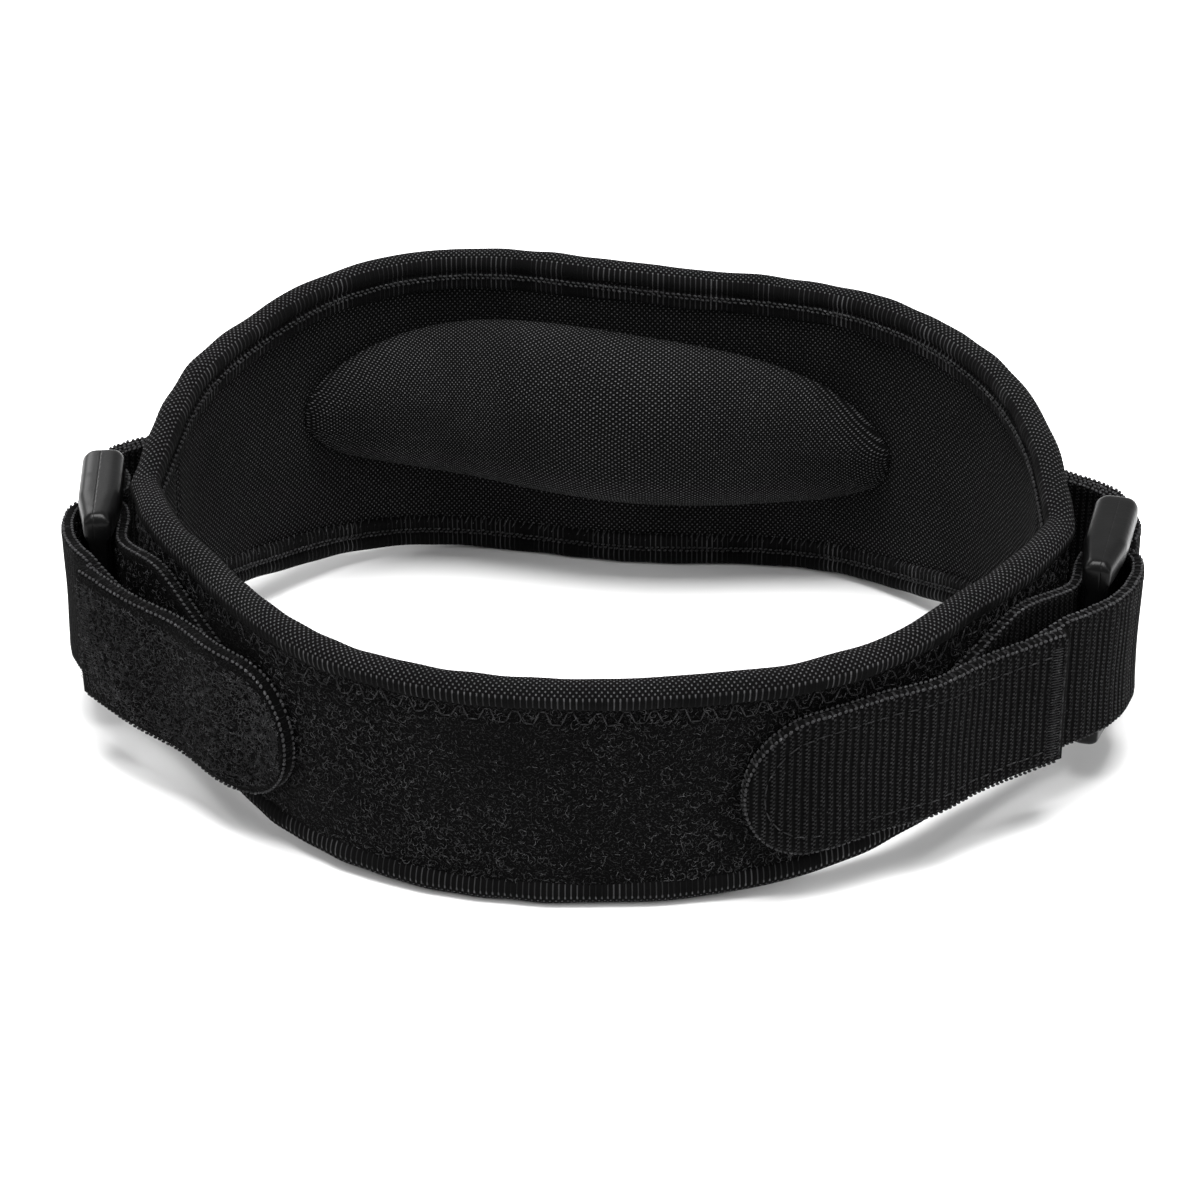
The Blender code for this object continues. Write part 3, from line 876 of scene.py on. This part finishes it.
def ringPlastic(side, look):
    blank = addObject(side + "RingBlank", nodes[side + "_ring"].data.copy())
    grid = blank.modifiers.new("grid", "REMESH")
    grid.mode = "VOXEL"
    grid.voxel_size = look["voxel"]
    rounding = blank.modifiers.new("rounding", "SMOOTH")
    rounding.iterations = look["rounding"]
    shape = bmesh.new()
    shape.from_object(blank, bpy.context.evaluated_depsgraph_get())
    bpy.data.objects.remove(blank)
    # the moulding's parting line, down the middle of the ring's thickness
    spots = np.array([vert.co for vert in shape.verts])[:, :2]
    centre = (spots.max(axis=0) + spots.min(axis=0)) / 2
    _, ways = np.linalg.eigh(np.cov((spots - centre).T))
    across = Vector((*ways[:, 0], 0))
    middle = Vector((*centre, 0))
    for step in (-1, 1, 0):
        bmesh.ops.bisect_plane(
            shape,
            geom=[*shape.verts, *shape.edges, *shape.faces],
            dist=weld,
            plane_co=middle + across * step * look["lineWidth"],
            plane_no=across,
        )
    shape.normal_update()
    for vert in shape.verts:
        if abs((vert.co - middle).dot(across)) < look["lineWidth"] / 4:
            vert.co -= vert.normal * look["lineDepth"]
    for face in shape.faces:
        face.smooth = True
    name = side + "RingBody"
    addPiece(name, meshOf(name, shape), ("plastic",), "ring_plastic", side + "_ring")


for side in ("left", "right"):
    ringPlastic(side, ringLook)
print("rings made")


# Straps and tabs

def strapLine(node, look):
    # a tab's line starts at its square end, and a strap's at its front end
    points = evenly(smoothed(middleLine(node, look["sliceZ"]), look["smoothing"]), readLook["pitch"])
    low, high = (heights([node], points, side) for side in ("below", "above"))
    if look["tip"]:
        backwards = high[0] - low[0] < high[-1] - low[-1]
    else:
        backwards = points[0, 1] > points[-1, 1]
    if backwards:
        points, low, high = points[::-1], low[::-1], high[::-1]
    line = {"xy": points, "normal": leftOf(np.gradient(points, axis=0)), "along": lengths(points)}
    if (line["normal"] * points).sum() < 0:
        line["normal"] *= -1
    line["length"] = line["along"][-1]
    left = line["length"] - line["along"]
    for key, values in (("middle", (low + high) / 2), ("half", (high - low) / 2)):
        if look["tip"]:
            # the rounded tip takes the heights of the straight stretch before it
            near = (left >= look["tipReach"]) & (left < look["fitReach"])
            fit = np.polyfit(line["along"][near], values[near], 1 if key == "middle" else 0)
            values = np.where(left < look["tipReach"], np.polyval(fit, line["along"]), values)
        line[key] = evened(values, look["heightPasses"])
    for (reach, drop), gone in zip(look["tucks"], (line["along"], left)):
        tucked = drop * np.clip(1 - gone / reach, 0, 1)
        line["half"] = line["half"] - tucked / 2
        line["middle"] = line["middle"] - tucked / 2
    line["tip"] = look["tip"]
    line["thick"] = look["thick"]
    return line


def spanOf(line, along):
    # a strap's half height at a distance along it, where its tip begins, and its full half
    (full,) = at(line, along, "half")
    if not line["tip"]:
        return full, line["length"] * np.ones_like(along), full
    begins = line["length"] - line["half"][-1]
    share = np.clip((along - begins) / line["half"][-1], 0, 1)
    return full * np.sqrt(np.maximum(1 - share**2, 1e-8)), begins, full


def onStrap(line, along, up, out):
    (middle,) = at(line, along, "middle")
    return onLine(line, along, middle + up, out)


def strapCloth(name, node, look, finish, slot):
    line = strapLine(nodes[node], look)
    line["slot"] = slot
    columns = int(line["length"] / look["columnWidth"])
    share = np.linspace(0, 1, columns + 1)[:, None]
    if line["tip"]:
        share = np.sin(share * math.pi / 2) * look["crowd"] + share * (1 - look["crowd"])
    along = share * line["length"]
    turn = np.linspace(0, math.tau, look["rows"] + 1)[None, :]
    half, begins, full = spanOf(line, along)
    up = half * np.sin(turn)
    edge = full - np.hypot(np.maximum(along - begins, 0), up)
    edge = np.minimum(edge, along)
    if not line["tip"]:
        edge = np.minimum(edge, line["length"] - along)
    thick = look["thick"] / 2
    rounded = np.sqrt(np.clip(1 - (1 - np.clip(edge / thick, 0, 1)) ** 2, 0, 1))
    dip = look["knotDip"]
    knots = 1 - dip + dip * np.cos(math.tau * along / look["knotPitch"])
    relief = look["ridge"] * sum(bump(edge, *ridge) for ridge in look["ridges"]) * knots
    begin, fade = look["plain"]
    plain = np.clip((edge - begin) / fade, 0, 1)
    relief = relief + look["rib"] * plain * np.cos(math.tau * along / look["ribPitch"])
    relief = relief - look["dent"] * bump(edge, look["stitchIn"], look["dentWidth"])
    out = np.where(np.cos(turn) >= 0, 1, -1) * rounded * (thick + relief)
    wave = ripples(onStrap(line, along, up, 0), look)
    points = onStrap(line, along, up, out + wave)
    points[:, -1] = points[:, 0]
    addPiece(name, clothMesh(name, points, along, up), (finish,), slot, node)
    return line


pullLook = {
    "sliceZ": 19.3 * mm,
    "heightPasses": 60,
    "smoothing": 24,
    "thick": 1.6 * mm,
    "tip": False,
    "columnWidth": 0.3 * mm,
    "rows": 96,
    "ridge": 0.13 * mm,
    "ridges": ((0.45 * mm, 0.22 * mm), (1.2 * mm, 0.24 * mm)),  # distance in from the edge, width
    "knotPitch": 0.75 * mm,
    "knotDip": 0.25,
    "plain": (1.5 * mm, 0.6 * mm),  # where the ribbed middle begins, and how soon it is full
    "rib": 0.05 * mm,
    "ribPitch": 0.9 * mm,
    "dent": 0,
    "dentWidth": 0.3 * mm,
    "stitchIn": 2.6 * mm,
    "wave": 0.08 * mm,
    "waveReach": 14 * mm,
    "seed": 9,
    "tucks": ((18 * mm, 4.5 * mm), (9 * mm, 2.6 * mm)),  # reach and drop of each end's top
}
noTucks = ((1 * mm, 0), (1 * mm, 0))
anchorLook = {
    **pullLook,
    "smoothing": 8,
    "thick": 1.2 * mm,
    "rows": 64,
    "wave": 0.04 * mm,
    "ridge": 0.1 * mm,
    "tucks": noTucks,
}
webTabLook = {
    **pullLook,
    "sliceZ": 16.5 * mm,
    "smoothing": 30,
    "thick": 2.2 * mm,
    "tip": True,
    "tipReach": 11 * mm,
    "fitReach": 24 * mm,
    "crowd": 0.3,  # how far the columns crowd together at the tip
    "columnWidth": 0.24 * mm,
    "rows": 128,
    "ridge": 0.16 * mm,
    "rib": 0.06 * mm,
    "ribPitch": 1.1 * mm,
    "dent": 0.12 * mm,
    "wave": 0.12 * mm,
    "tucks": noTucks,
}
brushedTabLook = {**webTabLook, "rib": 0.0, "ridge": 0.18 * mm}

straps = {}
for side, finish in (("left", "brushed"), ("right", "webbing")):
    for part, look, cloth in (("Anchor", anchorLook, "webbing"), ("Pull", pullLook, finish)):
        node = side + "_" + part.lower() + "_strap"
        straps[side + part] = strapCloth(side + part + "Strap", node, look, cloth, "webbing")
straps["leftTab"] = strapCloth("leftHookTab", "left_hook_tab", brushedTabLook, "brushed", "brushed_cloth")
straps["rightTab"] = strapCloth("rightHookTab", "right_hook_tab", webTabLook, "webbing", "webbing")
print("straps and tabs made")


# Threads and pile: one small mesh repeated many times

def repeated(name, template, origins, axes, finish, slot):
    # copies of a small mesh, each with its own origin and three axes
    count, size = len(origins), len(template.vertices)
    spots = np.array([vert.co for vert in template.vertices])
    placed = origins[:, None] + np.einsum("vk,nkc->nvc", spots, axes)
    faces = [tuple(face.vertices) for face in template.polygons]
    everyFace = [tuple(index + step * size for index in face) for step in range(count) for face in faces]
    mesh = bpy.data.meshes.new(name)
    mesh.from_pydata(placed.reshape(-1, 3), [], everyFace)
    mesh.polygons.foreach_set("use_smooth", np.ones(len(mesh.polygons), bool))
    mesh.update()
    addPiece(name, mesh, (finish,), slot)


def templateMesh(name, shape):
    bmesh.ops.recalc_face_normals(shape, faces=shape.faces)
    return meshOf(name, shape)


threadLook = {"segments": 6, "rings": 5}
loopLook = {
    "sides": 3,
    "steps": 3,
    "thickness": 0.16,  # radius of its strand, as a share of the loop's
    "lean": (0.25, 1.2),
    "stretch": (0.8, 1.3),
}


def threadTemplate(look):
    # a plump thread from x = 0 to x = 1, with a radius of 1
    shape = bmesh.new()
    bmesh.ops.create_uvsphere(shape, u_segments=look["segments"], v_segments=look["rings"], radius=1)
    quarter = Matrix.Rotation(math.pi / 2, 3, "Y")
    bmesh.ops.rotate(shape, verts=shape.verts, cent=(0, 0, 0), matrix=quarter)
    bmesh.ops.scale(shape, vec=(0.5, 1, 1), verts=shape.verts)
    bmesh.ops.translate(shape, vec=(0.5, 0, 0), verts=shape.verts)
    return templateMesh("thread", shape)


def loopTemplate(look):
    # a thin half hoop that stands on the XY plane, with a radius of 1
    shape = bmesh.new()
    ring = bmesh.ops.create_circle(
        shape, cap_ends=False, segments=look["sides"], radius=look["thickness"]
    )["verts"]
    bmesh.ops.translate(shape, vec=(1, 0, 0), verts=ring)
    bmesh.ops.spin(
        shape,
        geom=[*shape.verts, *shape.edges],
        cent=(0, 0, 0),
        axis=(0, -1, 0),
        angle=math.pi,
        steps=look["steps"],
        use_duplicate=False,
    )
    openEdges = [edge for edge in shape.edges if edge.is_boundary]
    bmesh.ops.holes_fill(shape, edges=openEdges, sides=0)
    return templateMesh("pileLoop", shape)


threadShape, loopShape = threadTemplate(threadLook), loopTemplate(loopLook)
skew = (0.31, 0.52, 0.79)  # no thread runs this way, so it can be crossed with any


def threads(name, starts, ends, radius, slot, finish="thread"):
    starts, ends = np.vstack(starts), np.vstack(ends)
    way = ends - starts
    aside = unit(np.cross(way, skew))
    third = unit(np.cross(way, aside))
    axes = np.stack((way, aside * radius, third * radius), axis=1)
    repeated(name, threadShape, starts, axes, finish, slot)


seamLook = {
    "beadPitch": 0.78 * mm,
    "beadRows": ((3.05 * mm, 0.0), (3.52 * mm, 0.5)),  # depth below the crest, and stagger
    "beadOut": -2.12 * mm,
    "beadRadius": 0.17 * mm,
    "beadReach": 0.29 * mm,  # half a bead's length
    "beadSlant": 0.08 * mm,
    "beadUneven": (0.05 * mm, 0.04 * mm),  # along and down
    "zigzag": ((0.0, 3.7), (0.7, 3.65), (1.45, 5.4), (2.65, 5.45), (3.4, 3.7)),  # mm along, down
    "zigzagOut": 1.55 * mm,
    "zigzagRadius": 0.11 * mm,
    "whipPitch": 1.25 * mm,
    "whip": ((0.0, 4.5, -2.05), (0.75, 5.75, -1.5)),  # mm along, down and out
    "whipRadius": 0.12 * mm,
    "uneven": 0.12 * mm,  # of the whip stitches and the zigzag
}


def bindingStitches(look):
    starts, ends = [], []
    for edge in ("high", "low"):
        for down, stagger in look["beadRows"]:
            along = np.arange(0, wall["length"], look["beadPitch"]) + stagger * look["beadPitch"]
            along = along + dice.normal(0, look["beadUneven"][0], along.shape)
            depth = down + dice.normal(0, look["beadUneven"][1], along.shape)
            for group, way in ((starts, -1), (ends, 1)):
                spots, levels = along + way * look["beadReach"], depth + way * look["beadSlant"]
                group.append(onWall(spots, levels, look["beadOut"], edge))
    threads("tapeBeads", starts, ends, look["beadRadius"], "binding")
    along = np.arange(0, wall["length"], look["whipPitch"])
    along = along + dice.normal(0, look["uneven"], along.shape)
    corners = [onWall(along + step * mm, down * mm, out * mm, "low") for step, down, out in look["whip"]]
    threads("whipStitches", *corners, look["whipRadius"], "binding")
    knots = np.array(look["zigzag"]) * mm
    repeats = int(wall["length"] / knots[-1, 0])
    stretch = wall["length"] / (repeats * knots[-1, 0])
    starts, ends = [], []
    for step in range(repeats):
        along = (step * knots[-1, 0] + knots[:, 0]) * stretch
        down = knots[:, 1] + dice.normal(0, look["uneven"], len(knots))
        spots = onWall(along, down, look["zigzagOut"])
        starts.append(spots[:-1])
        ends.append(spots[1:])
    threads("zigzagStitches", starts, ends, look["zigzagRadius"], "binding")


bindingStitches(seamLook)

routeLook = {"step": 0.2 * mm, "tipSteps": 60}


def edgeRoutes(line, start, inset):
    # ways along a strap's edges, as places along and up: one round its tip, or two apart
    begins = line["length"] - (line["half"][-1] if line["tip"] else 0)
    straight = np.arange(start, begins, routeLook["step"])
    half = at(line, straight, "half")[0] - inset
    upper, lower = (np.column_stack((straight, sign * half)) for sign in (1, -1))
    if not line["tip"]:
        return [upper, lower]
    bend = np.linspace(math.pi / 2, -math.pi / 2, routeLook["tipSteps"])
    radius = line["half"][-1] - inset
    tip = np.column_stack((begins + radius * np.cos(bend), radius * np.sin(bend)))
    return [np.vstack((upper, tip, lower[::-1]))]


def onRoute(route, spots):
    return [np.interp(spots, lengths(route), column) for column in route.T]


selvedgeLook = {
    "start": 0.3 * mm,
    "pitch": 0.74 * mm,
    "inset": 0.12 * mm,  # the knots' middle below the cloth's edge
    "radius": 0.21 * mm,
    "spread": 0.72,  # rows apart, as a share of the thickness
    "reach": 0.27 * mm,
    "slant": 0.10 * mm,
    "uneven": (0.05 * mm, 0.04 * mm),  # along and up
}


def selvedge(name, line, look):
    # two rows of knots along both edges, and round the tip
    starts, ends = [], []
    for route in edgeRoutes(line, look["start"], look["inset"]):
        for side in (-1, 1):
            spots = np.arange(look["pitch"], lengths(route)[-1] - look["pitch"], look["pitch"])
            spots = spots + dice.normal(0, look["uneven"][0], spots.shape) + side * look["pitch"] / 4
            out = side * line["thick"] / 2 * look["spread"]
            for group, way in ((starts, -1), (ends, 1)):
                along, up = onRoute(route, spots + way * look["reach"])
                up = up + dice.normal(0, look["uneven"][1], spots.shape)
                group.append(onStrap(line, along, up, out + way * look["slant"]))
    # the knots take the knot greys, a painted highlight
    threads(name, starts, ends, look["radius"], line["slot"], "knot")


for key in ("leftAnchor", "rightAnchor", "leftPull", "rightPull", "leftTab", "rightTab"):
    selvedge(key + "Knots", straps[key], selvedgeLook)


def runningStitch(line, route, look, out):
    # the ends of even stitches along a route on a strap
    firsts = np.arange(0, lengths(route)[-1] - look["length"], look["pitch"])
    ends = []
    for spots in (firsts, firsts + look["length"]):
        along, up = onRoute(route, spots)
        if look["uneven"]:
            up = up + dice.normal(0, look["uneven"], up.shape)
        ends.append(onStrap(line, along, up, out))
    return ends


tabStitchLook = {
    "start": 3.0 * mm,
    "stitchIn": 2.6 * mm,
    "pitch": 2.1 * mm,
    "length": 1.7 * mm,
    "radius": 0.11 * mm,
    "uneven": 0.06 * mm,
    "tackStart": 1.2 * mm,
    "tackEnd": 3.1 * mm,
    "tackPitch": 0.46 * mm,
    "tackMargin": 1.3 * mm,
    "tackProud": 0.02 * mm,
    "railStitches": 8,
    "railShift": 0.15 * mm,
    "railGap": 0.3 * mm,
}


def tabStitches(name, line, look):
    # one line of stitches along the upper edge, round the tip and back, and a bar tack with its rail
    face = line["thick"] / 2
    (route,) = edgeRoutes(line, look["start"], look["stitchIn"])
    firsts, lasts = runningStitch(line, route, look, face)
    face += look["tackProud"]
    half = line["half"][0]
    up = np.arange(-1, 1, look["tackPitch"] / half)[:-1] * (half - look["tackMargin"])
    rise = np.linspace(up[0], up[-1], look["railStitches"] + 1)
    rail = look["tackStart"] - look["railShift"]
    starts, ends = [firsts], [lasts]
    for first, low, last, high in (
        (look["tackStart"], up, look["tackEnd"], up + look["tackPitch"] / 2),
        (rail, rise[:-1], rail, rise[1:] - look["railGap"]),
    ):
        starts.append(onStrap(line, np.full_like(low, first), low, face))
        ends.append(onStrap(line, np.full_like(high, last), high, face))
    threads(name, starts, ends, look["radius"], line["slot"])


tabStitches("leftTabStitches", straps["leftTab"], tabStitchLook)
tabStitches("rightTabStitches", straps["rightTab"], tabStitchLook)

boxStitchLook = {
    "start": 1.6 * mm,
    "long": 11 * mm,
    "edge": 2.0 * mm,
    "pitch": 1.9 * mm,
    "length": 1.4 * mm,
    "radius": 0.14 * mm,
    "uneven": 0,
}


def boxStitches(name, line, look):
    # a crossed box on the outer ply, where the strap is sewn to the back panel
    def fromWall(along, out):
        spot = onStrap(line, np.array([along]), 0, out)[0]
        return np.hypot(*(wall["xy"] - spot[:2]).T).min()

    far = line["length"] - look["start"] - look["long"]
    first = max((look["start"], far), key=lambda along: fromWall(along, 0))
    last = first + look["long"]
    face = line["thick"] / 2
    face = max((-face, face), key=lambda out: fromWall((first + last) / 2, out))
    up = at(line, first, "half")[0] - look["edge"]
    corners = ((first, -up), (first, up), (last, up), (last, -up), (first, -up), (last, up))
    route = np.array([*corners, (last, -up), (first, up)])
    threads(name, *runningStitch(line, route, look, face), look["radius"], line["slot"])


boxStitches("leftBoxStitches", straps["leftAnchor"], boxStitchLook)
boxStitches("rightBoxStitches", straps["rightAnchor"], boxStitchLook)

seamStitchLook = {
    "pitch": 2.3 * mm,
    "length": 1.5 * mm,
    "radius": 0.12 * mm,
    "top": 6.5 * mm,
    "sunk": 0.15 * mm,
    "uneven": 0.15 * mm,
}


def cornerSeams(look):
    starts, ends = [], []
    for seam in seams:
        low, high = at(wall, seam, "low", "high")
        z = np.arange(low + look["top"], high - look["top"], look["pitch"])
        along = seam + dice.normal(0, look["uneven"], z.shape)
        for spots, shift in ((starts, 0), (ends, look["length"])):
            spots.append(onLine(wall, along, z + shift, -panelLook["half"] + look["sunk"]))
    threads("cornerSeamStitches", starts, ends, look["radius"], "knit")


cornerSeams(seamStitchLook)
print("stitches made")

pileLook = {
    "count": 8200,
    "low": 3.2 * mm,
    "high": 3.6 * mm,
    "radius": (0.15 * mm, 0.42 * mm),
    "sunk": 0.02 * mm,
}


def scatteredLoops(name, spots, normals, radii, slot):
    # each loop leans a random way and lies half down on its cloth
    count = len(spots)
    flat = unit(np.cross(normals, (0, 0, 1)))
    upright = unit(np.cross(flat, normals))
    turn = dice.uniform(0, math.tau, count)[:, None]
    along = flat * np.cos(turn) + upright * np.sin(turn)
    aside = np.cross(normals, along)
    lean = dice.uniform(*loopLook["lean"], count)[:, None]
    lift = normals * np.sin(lean) + aside * np.cos(lean)
    third = np.cross(lift, along)
    stretch = dice.uniform(*loopLook["stretch"], count)[:, None]
    axes = np.stack((along * stretch, third, lift), axis=1) * radii[:, None, None]
    # the loops take the pileThread greys, a painted highlight
    repeated(name, loopShape, spots, axes, "pileThread", slot)


def pile(look):
    along = dice.uniform(wall["rightCorner"], wall["length"], look["count"])
    low, high = at(wall, along, "low", "high")
    z = dice.uniform(low + look["low"], high - look["high"])
    spots = onLine(wall, along, z, panelLook["half"] - look["sunk"])
    normals = unit(onLine(wall, along, z, 1.0) - onLine(wall, along, z, 0.0))
    radii = dice.uniform(*look["radius"], look["count"])
    scatteredLoops("frontPileLoops", spots, normals, radii, "loop_pile")


brushLook = {
    "count": 5000,
    "ends": (0.5 * mm, 1 * mm),  # bare at the start and at the tip
    "edge": 1.3 * mm,
    "proud": 0.02 * mm,
    "radius": (0.16 * mm, 0.36 * mm),
}


def brushedFibres(name, line, look):
    first, last = look["ends"]
    along = dice.uniform(first, line["length"] - last, look["count"])
    half = spanOf(line, along)[0]
    up = dice.uniform(-1, 1, look["count"]) * (half - look["edge"])
    out = line["thick"] / 2 + look["proud"]
    spots = onStrap(line, along, up, out)
    normals = unit(onStrap(line, along, up, out + 1.0) - spots)
    radii = dice.uniform(*look["radius"], look["count"])
    scatteredLoops(name, spots, normals, radii, line["slot"])


pile(pileLook)
brushedFibres("leftTabFibres", straps["leftTab"], brushLook)
brushedFibres("leftPullFibres", straps["leftPull"], {**brushLook, "count": 2600})
print("pile made")
